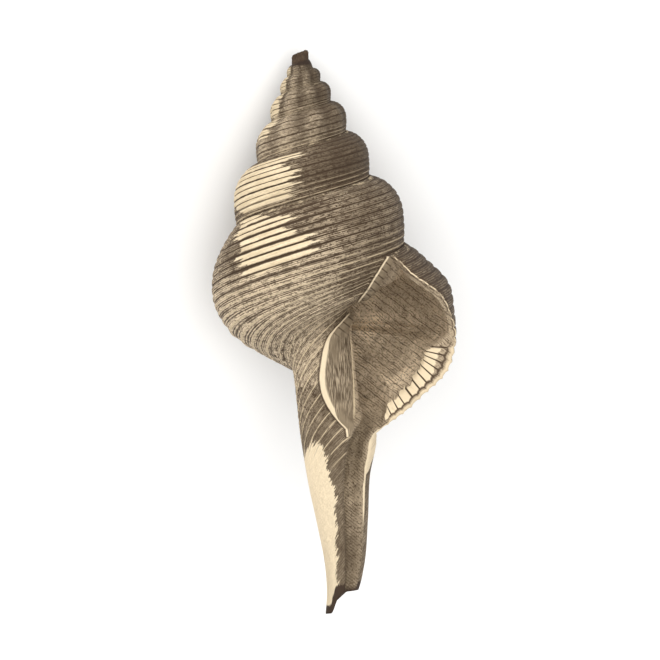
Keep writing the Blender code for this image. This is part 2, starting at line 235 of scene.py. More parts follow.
@dataclass(frozen=True)
class Sculpture:
    """Cords, grooves, threads, ribs and growth lines."""

    cords: int = 12
    base_cords: int = 8
    cord_relief: float = 0.0085
    groove_width: float = 0.26
    groove_rise: float = 0.12
    cord_round: float = 0.16
    thread_width: float = 0.34
    thread_floor: float = 0.15
    twist: float = 1.9
    twist_span: Span = (-400.0, -200.0)
    lip_smooth: float = 0.75
    lip_smooth_growth: float = -22.0
    thread_fade: Span = (0.058, 0.068)
    split_span: Span = (-1300.0, -500.0)
    ribs: int = 9
    rib_relief: float = 0.022
    rib_fade: Span = (-1300.0, -560.0)
    rib_linger: float = 300.0
    growth_lines: float = 0.00004
    line_spacing: Span = (3.1, 0.35)
    line_turn: float = 0.03
    seam_clear: float = 0.25
    steps_in_cord: tuple[float, ...] = (0.0, 0.07, 0.16, 0.30, 0.50, 0.70, 0.84, 0.93)

    @property
    def band_rows(self) -> Span:
        """Rows over which the band of teeth narrows."""
        return self.cords + 1.5, self.cords + 7.5

    @property
    def last(self) -> int:
        """Row of the base's last cord."""
        return self.cords + self.base_cords

    def rows(self, first: int, last: int) -> list[float]:
        """Rows of points from one whole cord to another, closer together at the grooves."""
        return [cord + step for cord in range(first, last) for step in self.steps_in_cord] + [float(last)]

    def cord_height(self, growth: Array, phase: Array) -> Array:
        """Height of cords over the seam's depth.

        Cords are flat bands between narrow grooves on the turns, and thin threads on the base. Every second
        groove appears as the shell grows.

        Args:
            growth: Degrees of growth.
            phase: Row, counted in cords.

        Returns:
            Heights over the depth of the turn's upper seam.
        """
        near = 2.0 * np.abs(phase - np.round(phase))
        band = 1.0 - np.exp(-(near / self.groove_width) ** 2) * (1.0 - self.groove_rise * near)
        band = band - self.cord_round * (1.0 - near) ** 2
        odd = (np.round(phase) % 2 == 1) & (phase < self.cords - 0.5)
        split = ease(growth, *self.split_span)
        band = np.where(odd, 1.0 - split * (1.0 - band), band)
        thread = np.exp(-((1.0 - near) / self.thread_width) ** 2)
        threaded = ease(phase, self.cords - 2.0, self.cords + 2.5)
        thread = self.thread_floor + (1.0 - self.thread_floor) * thread
        return self.cord_relief * (band + threaded * (thread - band))

    def drift(self, growth: Array, phase: Array) -> Array:
        """How many cords the threads of the base run aside from the growth law: they plunge on the left."""
        first, middle = self.twist_span
        swing = ease(growth, first, middle) * 2.0 - 0.95
        swing = np.where(growth > middle, 1.05 * (1 - ease(growth, middle, 0.0)), swing)
        return -self.twist * swing * ease(phase, self.cords, self.cords + 6.0)

    def rib_height(self, growth: Array, phase: Array) -> Array:
        """Height of the upper spire's upright ribs over the seam's depth."""
        strength = self.rib_relief * (1 - ease(growth, *self.rib_fade))
        return strength * np.cos(np.radians(self.ribs * growth)) * np.sin(math.pi * phase / self.cords)


@dataclass(frozen=True)
class Mouth:
    """The aperture: lips, the glaze on the inner lip, and the cavity. Metres, degrees of growth and cords."""

    lip_recedes: float = 27.0
    lip_in_canal: float = 14.0
    lip_start: float = -130.0
    columella_rows: tuple[float, ...] = (-2.67, 0.3, 0.7, 1.0, 2.0)
    columella_advances: tuple[float, ...] = (0.0, -22.0, -3.0, 18.0, 18.0)
    bottom: float = 0.0632
    rim: float = 0.05
    thickness: float = 0.09
    bands: Span = (0.0036, 0.0019)
    band_depth: float = 0.0012
    tooth_relief: float = 0.0002
    callus_height: float = 0.0004
    callus_depths: tuple[float, ...] = (0.0364, 0.0441, 0.0475, 0.0515, 0.0554, 0.0603, 0.0625)
    callus_edges: tuple[float, ...] = (0.0116, 0.0054, 0.0017, 0.0002, 0.0000, 0.0018, 0.0036)
    callus_softness: float = 0.0006
    callus_rim: float = 0.0007
    callus_rim_width: float = 0.0022
    glaze_growth: float = -250.0
    glaze_fill: float = 0.92
    glaze_cover: Span = (-0.0002, 0.0004)
    inner_rim: float = 0.4
    inner_turns: Span = (2.0, 6.0)
    crest_at: float = 0.45
    crest_rise: float = 0.00016
    band_sink: float = 0.0002
    band_steps: tuple[float, ...] = (0.12, 0.3, 0.5, 0.7, 0.88)
    cavity_turn: float = 125.0
    cavity_close: float = 0.58
    cavity_end: Span = (0.86, 0.4)
    cavity_length: float = 6.0
    columella_follows: float = 0.12
    steps: int = 22

    def callus_inside(self, right: Array, depth: Array) -> Array:
        """How far inside the glaze's left edge a point is, in metres."""
        return right - smooth_curve(depth, self.callus_depths, self.callus_edges)

    def callus_ends(self, depth: Array) -> Array:
        """1 along the glaze and 0 above and below it."""
        first, last = self.callus_depths[0], self.callus_depths[-1]
        return ease(depth, first - 0.002, first) * (1 - ease(depth, last, last + 0.003))

    def callus_raise(self, right: Array, depth: Array) -> Array:
        """Height of the glaze in metres."""
        inside = self.callus_inside(right, depth)
        height = self.callus_height + self.callus_rim * (1 - ease(inside, 0.3 * self.callus_rim_width,
                                                                  self.callus_rim_width))
        return height * ease(inside, -self.callus_softness, 0.0) * self.callus_ends(depth)


@dataclass(frozen=True)
class Canal:
    """The long channel below the mouth, in metres, with sinks as shares of the canal's radius."""

    end: float = 0.0884
    tip_reach: float = 0.0031
    walls: Span = (0.0011, 0.0006)
    sinks: Span = (0.95, 0.65)
    trough_aside: float = 0.12
    trough_pull: float = 0.35
    edge_drop: float = 0.00012
    rows: int = 84
    across: int = 12

    def end_depth(self, angle: Array) -> Array:
        """Depth at which the canal ends: its left side reaches further than its right."""
        return self.end + self.tip_reach * ease(0.5 - 0.5 * np.sin(angle), 0.20, 0.70)


@dataclass(frozen=True)
class Zone:
    """A soft-edged patch of skin: its rise and fall round the shell in degrees, and down it in cords."""

    around: tuple[Span, Span]
    down: tuple[Span, Span]
    strength: float = 1.0

    def read(self, side: Array, row: Array) -> Array:
        """Strength of the patch, by degrees from the front and row."""
        return self.strength * hump(side, *self.around) * hump(row, *self.down)


@dataclass(frozen=True)
class WearAndPaintedLightMap:
    """Where the outside wears to cream, partly a painted highlight, is threaded, and is painted with shade and
    highlight.

    Angles are in degrees from the front, rows in cords, and depths in metres below the apex. Turns are
    counted back from the lip.
    """

    body_sides: tuple[Span, Span] = ((-60, -38), (-20, 8))
    body_middle: Span = (-62, 0)
    body_lean: float = 3.0
    second_sides: tuple[Span, Span] = ((-112, -94), (-34, 8))
    second_foot: Span = (-104, -55)
    third: Zone = Zone(((-108, -90), (-60, -34)), ((-0.5, 0.8), (4.5, 8.5)), 0.85)
    upper: Zone = Zone(((-112, -96), (-58, -46)), ((-0.5, 0.8), (9.5, 11.5)))
    canal_sides: tuple[Span, Span] = ((-125, -96), (-20, 10))
    canal_strength: float = 1.7
    canal_slant: float = 0.00004
    canal_depths: Span = (0.0635, 0.0690)
    canal_widens: Span = (0.066, 0.074)
    margin_sides: tuple[Span, Span] = ((10, 30), (110, 140))
    margin_strength: float = 1.6
    margin_depths: tuple[Span, Span] = ((0.057, 0.059), (0.069, 0.080))
    margin_tapers: Span = (0.058, 0.077)
    margin_growth: float = -120.0
    thread_depths: Span = (0.064, 0.072)
    body_breadth: Zone = Zone(((-75, -40), (-5, 20)), ((0, 1), (9, 12)), 0.65)
    least_breadth: float = 0.35
    upper_breadth: float = 0.6
    # Painted shade on the right of the last turn, the second and the spire: its least, how much it adds, and
    # the degrees over which it rises.
    painted_shade: tuple[tuple[float, float, Span], ...] = ((0.0, 0.64, (-10, 45)), (0.20, 0.85, (-40, 36)),
                                                   (0.0, 0.75, (0, 55)))
    # A band of painted shade at the far right of each turn, and the degrees behind it over which all painted
    # shade fades.
    far_right: tuple[Span, Span] = ((62, 84), (104, 150))
    shade_ends: Span = (0.055, 0.061)
    # Painted highlight on the left of the last turn and of the spire.
    body_highlight: tuple[Span, Span] = ((-150, -110), (-15, 35))
    spire_highlight: tuple[Span, Span] = ((-120, -90), (-35, 25))

    def patches(self, side: Array, turns: Array, row: Array) -> Array:
        """Cream on the left of the turns, from wear and partly a painted highlight, narrowing to the right on
        the last one.
        """
        middle = ease(side, *self.body_middle)
        top, bottom = 3.0 * middle, (9.7 - 1.5 * middle, 11.2 - 1.8 * middle)
        body = hump(side - self.body_lean * (row - 6), *self.body_sides)
        body = body * hump(row, (top - 0.3, top + 0.5), bottom)
        foot = 3.4 * ease(side, *self.second_foot)
        second = hump(side, *self.second_sides) * hump(row, (2.0, 3.0), (6.8 + foot, 8.8 + foot))
        third, upper = self.third.read(side, row), self.upper.read(side, row)
        zones = (np.zeros_like(side), body, second, third)
        return np.select((turns <= 0, turns == 1, turns == 2, turns == 3), zones, upper)

    def canal(self, face: Array, depth: Array) -> tuple[Array, Array]:
        """Cream on the canal's left side, partly a painted highlight, and on the margin on its right."""
        (rise, (low, high)), wider = self.canal_sides, 16 * ease(depth, *self.canal_widens)
        left = self.canal_strength * ease(depth + self.canal_slant * (face + 60), *self.canal_depths)
        left = left * hump(face, rise, (low + wider, high + wider))
        (rise, (low, high)), taper = self.margin_sides, 80 * ease(depth, *self.margin_tapers)
        right = hump(face, rise, (low - taper, high - taper)) * hump(depth, *self.margin_depths)
        return left, self.margin_strength * right

    def shade(self, side: Array, turns: Array, depth: Array) -> Array:
        """How dark the painted shade makes the right of each turn, most at its far right edge."""
        darker, ends = self.far_right
        body, second, spire = (least + most * ease(side, *span) for least, most, span in self.painted_shade)
        shade = np.select((turns <= 1, turns == 2), (body, second), spire) + 0.5 * ease(side, *darker)
        return shade * (1 - ease(side, *ends)) * (1 - ease(depth, *self.shade_ends))

    def painted_highlight(self, side: Array, turns: Array) -> Array:
        """How pale the painted highlight makes the left of the last turn and of the spire."""
        spire = 0.75 * hump(side, *self.spire_highlight) * (turns >= 3)
        return np.where(turns == 1, hump(side, *self.body_highlight), spire)


@dataclass(frozen=True)
class RestPose:
    """How the shell lies on its back."""

    lean: float = 0.075
    pitch: float = 20.5
    roll: float = -16.53

    def turn(self) -> Matrix:
        """Turn from the shell's own axis to the floor's."""
        on_back = Matrix.Rotation(math.radians(-90.0), 4, "X")
        rolled = Matrix.Rotation(math.radians(self.roll), 4, "Y")
        pitched = Matrix.Rotation(math.radians(-self.pitch), 4, "X")
        return pitched @ rolled @ on_back


@dataclass
class Sheet:
    """A ruled piece of skin: points and what its finish reads, by column and row."""

    part: Part
    points: Array
    growth_map: Array
    wear: Array
    edge: Array | None = None

    def add_to(self, bm: bmesh.types.BMesh) -> None:
        """Rolls a flat grid up into this sheet.

        Args:
            bm: The mesh that it joins.
        """
        columns, rows = self.points.shape[:2]
        made = bmesh.ops.create_grid(bm, x_segments=columns - 1, y_segments=rows - 1, size=1.0)
        places = {}
        for vert in made["verts"]:
            column = round((vert.co.x + 1.0) / 2.0 * (columns - 1))
            row = round((vert.co.y + 1.0) / 2.0 * (rows - 1))
            places[vert] = (column, row)
            vert.co = self.points[column, row]
        growth_layer, front_layer = bm.loops.layers.uv["Growth"], bm.loops.layers.uv["Front"]
        wear_layer, edge_layer = bm.loops.layers.float_color["Wear"], bm.loops.layers.float_color["Edge"]
        for face in {face for vert in made["verts"] for face in vert.link_faces}:
            face.material_index = self.part.value
            face.smooth = True
            for loop in face.loops:
                at = places[loop.vert]
                point = self.points[at]
                loop[growth_layer].uv = self.growth_map[at]
                loop[front_layer].uv = (CENTIMETRES * point[0], CENTIMETRES * point[2])
                loop[wear_layer] = self.wear[at]
                if self.edge is not None:
                    loop[edge_layer] = self.edge[at]


@dataclass
class SpindleShell:
    """The whole shell: works out its skin, sheet by sheet, and makes one closed piece of it."""

    law: GrowthLaw = field(default_factory=GrowthLaw)
    sculpture: Sculpture = field(default_factory=Sculpture)
    mouth: Mouth = field(default_factory=Mouth)
    canal: Canal = field(default_factory=Canal)
    wear: WearAndPaintedLightMap = field(default_factory=WearAndPaintedLightMap)
    pose: RestPose = field(default_factory=RestPose)
    column: float = 4.0
    neck_rows: int = 72
    samples: int = 160
    weld: float = 1e-6
    stub_below: float = -1700.0
    stub: tuple[Span, ...] = ((0.96, 0.0003), (0.98, 0.0003), (0.88, 0.0004), (0.62, 0.0001))
    stub_lean: float = 0.14
    stub_rough: float = 0.22
    stub_ragged: float = 0.00035
    aim: Span = (-0.00098, -0.0450)

    def __post_init__(self) -> None:
        """Works out the depths at which the base's cords fall."""
        depths = np.linspace(1.0, 4.0, 720)
        radii = self.law.section(np.full_like(depths, self.law.body_span[1]), depths)
        lengths = np.concatenate(([0.0], np.cumsum(np.hypot(np.diff(depths), np.diff(radii)))))
        seam = np.interp(self.law.turn_growth, depths, lengths)
        self.base_depths, self.base_phases = depths, self.sculpture.cords * lengths / seam

    def eased_growth(self, growth: Array, phase: Array) -> Array:
        """Growth of each point after the lip's middle has receded and the canal's left edge advanced."""
        mouth, last = self.mouth, self.sculpture.last
        lip = ease(phase, 0.2 * self.sculpture.cords, self.sculpture.cords)
        low = ease(phase, last - 2.67, last + 1)
        recede = mouth.lip_recedes * lip + (mouth.lip_in_canal - mouth.lip_recedes) * low
        advance = smooth_curve(phase - last, mouth.columella_rows, mouth.columella_advances)
        early = 1 - ease(growth, -360.0, mouth.glaze_growth)
        return growth - recede * ease(growth, mouth.lip_start, 0.0) + advance * early

    def upper_profile(self, eased: Array, phase: Array) -> tuple[Array, ...]:
        """Depth, radius and slope of rows between two seams, spaced evenly along the section."""
        values, index = np.unique(eased, return_inverse=True)
        spread = 0.5 - 0.5 * np.cos(np.linspace(0.0, math.pi, self.samples))
        depths = self.law.seam_depth(values)[:, None] * (1.0 + (self.law.turn_growth - 1.0) * spread)
        radii = self.law.profile(values[:, None], depths)
        steps = np.hypot(np.diff(depths, axis=1), np.diff(radii, axis=1))
        lengths = np.concatenate((np.zeros((len(values), 1)), np.cumsum(steps, axis=1)), axis=1)
        depths, radii, lengths = depths[index], radii[index], lengths[index]
        slopes = np.gradient(radii, axis=1) / np.gradient(depths, axis=1)
        wanted = phase / self.sculpture.cords * lengths[:, -1]
        after = np.clip((lengths < wanted[:, None]).sum(axis=1), 1, self.samples - 1)
        every = np.arange(len(phase))
        share = (wanted - lengths[every, after - 1]) / (lengths[every, after] - lengths[every, after - 1])
        return tuple(row[every, after - 1] + share * (row[every, after] - row[every, after - 1])
                     for row in (depths, radii, slopes))

    def lower_profile(self, eased: Array, phase: Array) -> tuple[Array, ...]:
        """Depth, radius and slope of rows on the base, the neck and the canal."""
        last = self.sculpture.last
        scale, angle = self.law.seam_depth(eased), self.law.angle(eased)
        on_base = scale * np.interp(phase, self.base_phases, self.base_depths)
        neck_top = scale * np.interp(last, self.base_phases, self.base_depths)
        on_neck = neck_top + (self.mouth.bottom - neck_top) * (phase - last)
        on_canal = self.mouth.bottom + (self.canal.end_depth(angle) - self.mouth.bottom) * (phase - last - 1)
        depth = np.where(phase <= last, on_base, np.where(phase <= last + 1, on_neck, on_canal))
        step = 1e-5
        low, radius, high = (self.law.profile(eased, depth + shift) for shift in (-step, 0.0, step))
        return depth, radius, (high - low) / (2 * step)

    def place(self, growth: float, phase: Array) -> Array:
        """Points of one growth column of the outer surface, on the shell's own axis.

        Args:
            growth: Degrees of growth.
            phase: Rows, counted in cords from the upper seam; past the base's cords, the next whole numbers
                are the mouth's bottom and the canal's end.

        Returns:
            Rows of x, y, z in metres.
        """
        cords = self.sculpture.cords
        phase = np.asarray(phase, float)
        eased = self.eased_growth(np.full_like(phase, growth), phase)
        angle, scale = self.law.angle(eased), self.law.seam_depth(eased)
        depth, radius, slope = np.zeros_like(phase), np.zeros_like(phase), np.zeros_like(phase)
        for rows, profile in ((phase <= cords, self.upper_profile), (phase > cords, self.lower_profile)):
            if rows.any():
                depth[rows], radius[rows], slope[rows] = profile(eased[rows], phase[rows])
        below = phase > cords
        first = self.law.first_growth
        blunt = np.where(below, 0.0, 1 - ease(growth, first, first + self.law.blunt_growth))
        radius -= blunt * (radius - self.law.seam_slope * depth)
        thread = self.thread_row(growth, phase, eased, depth)
        raised = self.raised(growth, phase, thread, scale, depth) * (1 - blunt)
        if growth < self.mouth.glaze_growth:
            raised = self.under_glaze(raised, below, radius * np.sin(angle), depth)
        steep = np.hypot(1.0, slope)
        radius = radius + raised / steep
        depth = depth - raised * slope / steep
        return np.stack((radius * np.sin(angle), -radius * np.cos(angle), -depth), axis=1)

    def raised(self, growth: float, phase: Array, thread: Array, scale: Array, depth: Array) -> Array:
        """How far cords, ribs and growth lines stand off one growth column, before the glaze covers them.

        Args:
            growth: Degrees of growth.
            phase: Rows of the sheet.
            thread: The same rows counted in cords and threads.
            scale: Depth of the turn's upper seam at each point.
            depth: Depth of each point.

        Returns:
            Heights in metres.
        """
        carved, cords = self.sculpture, self.sculpture.cords
        raised = scale * carved.cord_height(growth, thread)
        raised *= 1 - ease(depth, *carved.thread_fade) * (phase > carved.last)
        near_lip = carved.lip_smooth * ease(growth, carved.lip_smooth_growth, 0.0)
        raised *= 1 - near_lip * (1 - ease(phase, 0.6 * cords, cords))
        raised += np.where(phase > cords, 0.0, scale * carved.rib_height(growth, phase))
        raised[(phase == 0) | (phase == cords)] = 0.0
        clear = ease(phase, 0.0, carved.seam_clear)
        clear *= 1 - ease(phase, cords - carved.seam_clear, cords) * (phase <= cords)
        along, across = carved.line_spacing
        turn = np.stack((np.full_like(phase, growth / along), across * phase, np.zeros_like(phase)), axis=1)
        lines = grain(turn, 1.0) + 0.6 * grain(turn, 0.31, 5.0)
        return raised + clear * carved.growth_lines * lines * (scale / carved.line_turn)

    def thread_row(self, growth: float, phase: Array, eased: Array, depth: Array) -> Array:
        """Row of each point counted in cords and threads, which run on over the neck and the canal.

        Args:
            growth: Degrees of growth of the column.
            phase: Rows of the sheet.
            eased: Growth of each point.
            depth: Depth of each point before it is raised.

        Returns:
            Rows counted in cords.
        """
        below = np.interp(depth / self.law.seam_depth(eased), self.base_depths, self.base_phases)
        below = np.where(phase <= self.sculpture.last, phase, below)
        return np.where(phase <= self.sculpture.cords, phase,
                        below + self.sculpture.drift(np.full_like(phase, growth), phase))

    def under_glaze(self, raised: Array, below: Array, right: Array, depth: Array) -> Array:
        """Adds the inner lip's glaze, which also fills the sculpture beneath it."""
        mouth = self.mouth
        covered = ease(mouth.callus_inside(right, depth), *mouth.glaze_cover) * mouth.callus_ends(depth)
        glazed = raised * (1 - mouth.glaze_fill * covered) + mouth.callus_raise(right, depth)
        return np.where(below, glazed, raised)

    def front_turn(self, growth: Array) -> tuple[Array, Array]:
        """Angle from the front in degrees, -180 to 180, and how many turns back from the lip."""
        angle = self.law.mouth_corner - growth
        turns = np.floor((angle + 180.0) / 360.0)
        return angle - 360.0 * turns, turns

    def wear_and_painted_light_of(self, growth: Array, row: Array, points: Array) -> Array:
        """What the outer finish reads: cream wear that is partly a painted highlight, where threads get
        painted highlights on their crests, groove breadth, and painted shade less painted highlight.

        Args:
            growth: Degrees of growth, by column and row.
            row: Rows counted in cords and threads.
            points: The points themselves.

        Returns:
            Four values for each point.
        """
        wear, cords, depth = self.wear, self.sculpture.cords, -points[..., 2]
        face = np.degrees(np.arctan2(points[..., 0], -points[..., 1]))
        side, turns = self.front_turn(growth)
        left, right = wear.canal(face, depth)
        low = (row > cords) * (turns <= 1)
        cream = np.where(row > cords, 0.0, wear.patches(side, turns, row))
        cream = np.maximum(cream, np.maximum(left, right * (growth > wear.margin_growth)) * low)
        threads = ease(row, cords - 4.0, cords - 0.5) * (1 - ease(depth, *wear.thread_depths))
        breadth = wear.least_breadth + wear.body_breadth.read(side, row) * (turns == 1)
        breadth = np.where(turns >= 2, wear.upper_breadth, breadth)
        on_base = ease(row, cords - 6, cords - 2) * (depth < wear.shade_ends[0])
        # Painted highlight on the left, taken off the painted shade.
        painted_highlight = wear.painted_highlight(side, turns) * np.where(turns == 1, on_base, 1.0)
        return np.stack((cream, threads, breadth, wear.shade(side, turns, depth) - painted_highlight), axis=-1)

    def edge_of(self, growth: Array, phase: Array, points: Array) -> Array:
        """Distances that the outer finish reads, in millimetres.

        Args:
            growth: Degrees of growth, by column and row.
            phase: Rows, by column and row.
            points: The points themselves.

        Returns:
            How far inside the glaze's edge, how deep below the apex and how far above the canal's end, and 0
            to 1 between the ribs, where the finish paints shade, for each point.
        """
        depth = -points[..., 2]
        inside = self.mouth.callus_inside(points[..., 0], depth)
        on_glaze = (growth < self.mouth.glaze_growth) & (phase > self.sculpture.cords)
        on_glaze &= self.mouth.callus_ends(depth) > 0.5
        inside = np.where(on_glaze, inside, -0.01)
        to_end = self.canal.end_depth(self.law.angle(growth)) - depth
        first, last = self.sculpture.rib_fade
        hollow = (0.5 - 0.5 * np.cos(np.radians(self.sculpture.ribs * growth))) ** 1.5
        hollow = hollow * (1 - ease(growth, first, last + self.sculpture.rib_linger))
        return np.stack((MILLIMETRES * inside, MILLIMETRES * depth, MILLIMETRES * to_end, hollow), axis=-1)

    def outer_sheet(self, columns: Array, rows: Array) -> Sheet:
        """One sheet of the outer surface."""
        points = np.stack([self.place(growth, rows) for growth in columns])
        growth, phase = np.meshgrid(columns, rows, indexing="ij")
        thread = np.stack([self.thread_row(column, rows, self.eased_growth(np.full_like(rows, column), rows),
                                           -points[index, :, 2]) for index, column in enumerate(columns)])
        mapped = np.stack((growth / 360.0, thread), axis=-1)
        wear = self.wear_and_painted_light_of(growth, thread, points)
        return Sheet(Part.OUTSIDE, points, mapped, wear, self.edge_of(growth, phase, points))

    def lip_rows(self) -> Array:
        """Rows of the outer lip, from below the mouth's corner to the canal."""
        last = self.sculpture.last
        neck = [last + (step + 1) / self.neck_rows for step in range(self.neck_rows)]
        return np.array(self.sculpture.rows(0, last)[1:] + neck)

    def canal_rows(self) -> Array:
        """Rows of the canal, from the mouth's bottom to the end."""
        return self.sculpture.last + 1 + np.linspace(0.0, 1.0, self.canal.rows + 1)

    def canal_sections(self) -> Array:
        """Points across the canal at each of its rows: right edge, wall top, trough, left edge."""
        rows = self.canal_rows()
        right, left = self.place(0.0, rows), self.place(-360.0, rows)
        along = (rows - rows[0])[:, None]
        depth = -0.5 * (left[:, 2] + right[:, 2])
        inward = (left - right) / np.linalg.norm(left - right, axis=1)[:, None]
        inner = right + inward * between(self.canal.walls, along)
        radius = smooth_curve(depth, self.law.rod_depths, self.law.rod_radii)[:, None]
        deepest = left.copy()
        deepest[:, 0] += self.canal.trough_aside * (right[:, 0] - left[:, 0])
        deepest[:, 1] += (between(self.canal.sinks, along) * radius)[:, 0]
        sections = [right, 0.5 * (right + inner) - np.array((0.0, self.canal.edge_drop, 0.0)), inner]
        fine = self.canal.across - len(sections)
        for step in range(1, fine + 1):
            share = step / fine
            pull = deepest + self.canal.trough_pull * (deepest - 0.5 * (inner + left))
            sections.append((1 - share) ** 2 * inner + 2 * share * (1 - share) * pull + share ** 2 * left)
        return np.stack(sections, axis=1)

    def lip_threads(self, rows: Array) -> Array:
        """The same rows of the outer lip, counted in cords and threads."""
        eased = self.eased_growth(np.zeros_like(rows), rows)
        return self.thread_row(0.0, rows, eased, -self.place(0.0, rows)[:, 2])

    def mouth_edge(self) -> tuple[Array, Array, int]:
        """Points round the mouth's edge: corner, outer lip, canal, inner lip. Also their rows, and the last
        index on the outer lip."""
        rows = self.lip_rows()
        inner_rows = rows[rows > self.sculpture.cords][::-1]
        canal = self.canal_sections()[0, 1:-1]
        edge = np.concatenate((self.place(0.0, np.array([0.0])), self.place(0.0, rows), canal,
                               self.place(-360.0, inner_rows)))
        return edge, np.concatenate(([0.0], rows, np.full(len(canal), rows[-1]), inner_rows)), len(rows)

    def bevelled(self, row: Array) -> Array:
        """How much of the bevel there is at each row of the outer lip, 0 to 1."""
        cords, last = self.sculpture.cords, self.sculpture.last
        return ease(row, cords - 2.0, cords + 1.0) * (1 - 0.9 * ease(row, last + 0.4, last + 1.0))

    def across_lip(self, edge: Array, inward: Array, on_lip: int) -> Array:
        """Directions across the outer lip, square to its run and towards the mouth."""
        smooth = edge.copy()
        reach = 2 * len(self.sculpture.steps_in_cord)
        mean = np.full(2 * reach + 1, 1 / (2 * reach + 1))
        for axis in range(3):
            padded = np.pad(edge[:on_lip + 1, axis], reach, mode="reflect", reflect_type="odd")
            smooth[:on_lip + 1, axis] = np.convolve(padded, mean, "valid")
        run = np.gradient(smooth, axis=0)
        across = np.stack((-run[:, 2], np.zeros(len(edge)), run[:, 0]), axis=1)
        return across * (np.sign((across * inward).sum(axis=1)) / np.linalg.norm(across, axis=1))[:, None]

    def cavity_loops(self) -> list[tuple[float, Array]]:
        """Loops of points from the mouth's edge to the cavity's inner end, each with its place on the way."""
        mouth = self.mouth
        edge, rows, on_lip = self.mouth_edge()
        inward = edge.mean(axis=0) - edge
        index = np.arange(len(edge))
        back = index > on_lip
        wide = self.bevelled(rows) * ~back
        upper = ease(-rows, -self.sculpture.last, -self.sculpture.cords - 1.0)
        filled = mouth.thickness * (0.3 + 0.7 * upper)
        rim = edge + inward * np.where(back, mouth.inner_rim * filled, mouth.rim)[:, None]
        breadth = between(mouth.bands, ease(rows, *self.sculpture.band_rows))
        bevel = self.across_lip(edge, inward, on_lip) * (breadth * wide)[:, None]
        bevel[:, 1] += np.where(back, 0.0, mouth.band_depth * wide + mouth.band_sink)
        band = edge + inward * np.where(back, filled, mouth.thickness)[:, None] + bevel
        turned = np.where(back, ease(rows, self.sculpture.cords - 0.5, self.sculpture.cords + 4.0), 0.0)
        rim, band = (self.law.turned_back(loop, degrees * turned)
                     for loop, degrees in zip((rim, band), mouth.inner_turns))
        crest = edge + mouth.crest_at * (rim - edge)
        crest[~back, 1] -= mouth.crest_rise
        loops = [(0.0, edge), (0.5, crest), (1.0, rim)]
        tooth = np.abs(np.sin(math.pi * self.lip_threads(rows))) ** 0.5 * wide * mouth.tooth_relief
        for step in mouth.band_steps:
            loop = rim + (band - rim) * step
            loop[:, 1] -= tooth * math.sin(math.pi * step) ** 0.5
            loops.append((1.0 + step, loop))
        loops.append((2.0, band))
        return loops + self.deep_loops(band, rows, back)

    def deep_loops(self, band: Array, rows: Array, back: Array) -> list[tuple[float, Array]]:
        """The cavity behind its edge, narrowing as it turns back into the body whorl.

        The columella keeps its place while the other walls close in, and is slimmer inside than in front.

        Args:
            band: Where the cavity starts.
            rows: Row of each of its points.
            back: Which of them are on the canal and the inner lip.

        Returns:
            Loops of points, each with its place on the way.
        """
        mouth, cords, last = self.mouth, self.sculpture.cords, self.sculpture.last
        centre = band.mean(axis=0)
        inner = between((1.0, mouth.columella_follows), ease(rows, cords + 1.5, last - 1.0))
        outer = 1.0 - 0.6 * ease(rows, last + 0.9, last + 1.0)
        follow = np.where(back, inner, outer)
        angle = np.arctan2(band[:, 0], -band[:, 1])
        turned_away = 1 - np.sin(np.clip(angle, 0.3, math.pi / 2))
        stood = np.where(back, ease(rows, cords + 2.5, last) * turned_away, 0.0)
        loops = []
        for step in range(1, mouth.steps + 1):
            share = step / mouth.steps
            turned = angle + math.radians(mouth.cavity_turn * share)
            slim = 1.0 - stood * ease(turned, angle, math.pi / 2 + 0.01)
            width = 1.0 - (1.0 - mouth.cavity_close) * share ** 0.7
            width *= 1.0 - mouth.cavity_end[1] * ease(share, mouth.cavity_end[0], 1.0)
            narrowed = band + (centre - band) * ((1.0 - width) * follow)[:, None]
            narrowed[:, :2] *= slim[:, None]
            turned_in = self.law.turned_back(narrowed, mouth.cavity_turn * share)
            loops.append((2.0 + mouth.cavity_length * share, turned_in))
        return loops

    def lining_sheet(self) -> Sheet:
        """The lips' edge and the inside of the mouth, as one sheet wrapped round the opening."""
        loops = self.cavity_loops()
        _, rows, on_lip = self.mouth_edge()
        points = np.stack([np.concatenate((loop, loop[:1])) for _, loop in loops])
        side = np.append(np.arange(len(rows)) > on_lip, True).astype(float)
        rows = np.append(rows, self.sculpture.cords)
        step, row = np.meshgrid(np.array([at for at, _ in loops]), rows, indexing="ij")
        side = np.broadcast_to(side, row.shape)
        teeth = self.bevelled(row) * (1 - side)
        threads = np.broadcast_to(self.lip_threads(rows), row.shape)
        wear = np.stack((side, teeth, np.zeros_like(row), np.zeros_like(row)), axis=-1)
        return Sheet(Part.LINING, points, np.stack((step, threads), axis=-1), wear)

    def channel_sheet(self) -> Sheet:
        """The inside of the canal."""
        points = self.canal_sections()
        rows = self.canal_rows()
        across = np.linspace(0.0, 1.0, points.shape[1])
        row, side = np.meshgrid(rows - rows[0], across, indexing="ij")
        from_right, from_left = (MILLIMETRES * np.linalg.norm(points - points[:, edge][:, None], axis=2)
                                 for edge in (0, -1))
        to_end = MILLIMETRES * (self.canal.end + points[..., 2])
        wear = np.stack((from_right, from_left, to_end, np.zeros_like(row)), axis=-1)
        return Sheet(Part.CHANNEL, points, np.stack((side, row), axis=-1), wear)

